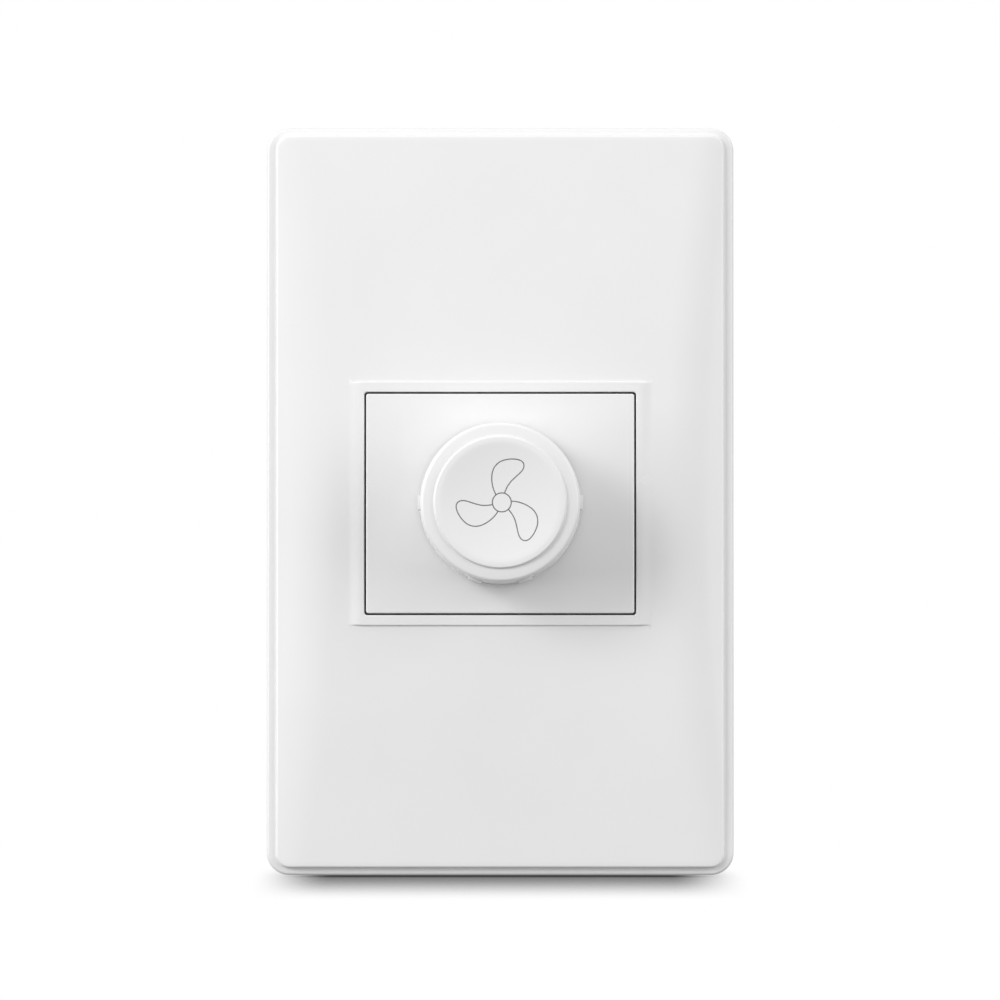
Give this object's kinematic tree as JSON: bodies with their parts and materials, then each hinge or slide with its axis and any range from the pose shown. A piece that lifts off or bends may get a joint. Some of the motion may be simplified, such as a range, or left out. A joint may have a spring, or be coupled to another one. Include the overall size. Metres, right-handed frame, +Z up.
{
  "type": "fan speed control switch",
  "caption": "Wall switch for a fan's speed: a white stepped cover with an arched face, a flush module in its window and a round knob on a rotary control with a rear housing.",
  "frame": {"origin": "midway between the two wall box screw slots, on the plane of the wall", "axes": "+X to the right seen from the front, +Y into the wall, +Z up along the long side of the cover. The knob points to -Y."},
  "size_m": [0.075, 0.0483, 0.12],
  "materials": {
    "white_front_plastic": "satin gloss, moulded",
    "frame_plastic": "matt, moulded",
    "housing_plastic": "matt, moulded",
    "plated_steel": "zinc plated",
    "plated_brass": "nickel plated",
    "zinc_casting": "die cast",
    "shaft_alloy": "turned",
    "board_laminate": "pressed laminate",
    "tinned_leads": "tinned",
    "rotor_plastic": "moulded",
    "spring_bronze": "rolled",
    "sink_aluminium": "rolled sheet",
    "potting_black": "moulded epoxy",
    "ferrite": "sintered",
    "enamelled_copper": "enamelled wire",
    "film_case": "potted box",
    "timing_case": "potted box",
    "resistor_lacquer": "lacquer",
    "diac_glass": "lacquered glass",
    "fuse_sleeve": "ceramic tube",
    "absorber_lacquer": "epoxy dip",
    "block_plastic": "moulded",
    "clamp_brass": "milled"
  },
  "bodies": {
    "fixed_part": {"cover_plate": "white_front_plastic", "module_fascia": "white_front_plastic", "mounting_frame": "frame_plastic", "rear_housing": "housing_plastic", "snap_switch": "housing_plastic", "housing_screws": "plated_steel", "pot_case": "plated_steel", "bush_washer": "plated_steel", "triac_screw": "plated_steel", "triac_nut": "plated_steel", "terminal_screws": "plated_steel", "bush_nut": "plated_brass", "pot_bush": "zinc_casting", "control_board": "board_laminate", "pot_wafer": "board_laminate", "pot_terminals": "tinned_leads", "heat_sink": "sink_aluminium", "triac": "potting_black", "choke_core": "ferrite", "choke_winding": "enamelled_copper", "suppression_capacitor": "film_case", "timing_capacitor": "timing_case", "fixed_resistors": "resistor_lacquer", "trigger_diac": "diac_glass", "thermal_fuse": "fuse_sleeve", "surge_absorber": "absorber_lacquer", "terminal_block": "block_plastic", "terminal_clamps": "clamp_brass"},
    "knob_and_shaft": {"knob": "white_front_plastic", "knob_spring_clip": "plated_steel", "control_shaft": "shaft_alloy", "shaft_retaining_ring": "plated_steel", "pot_rotor": "rotor_plastic", "pot_wiper": "spring_bronze"}
  },
  "joints": [
    {"name": "knob_turn", "type": "hinge", "parent": "fixed_part", "child": "knob_and_shaft", "pos_m": [0, -0.0092, 0], "axis": [0, 1, 0], "range_deg": [0, 300]}
  ]
}
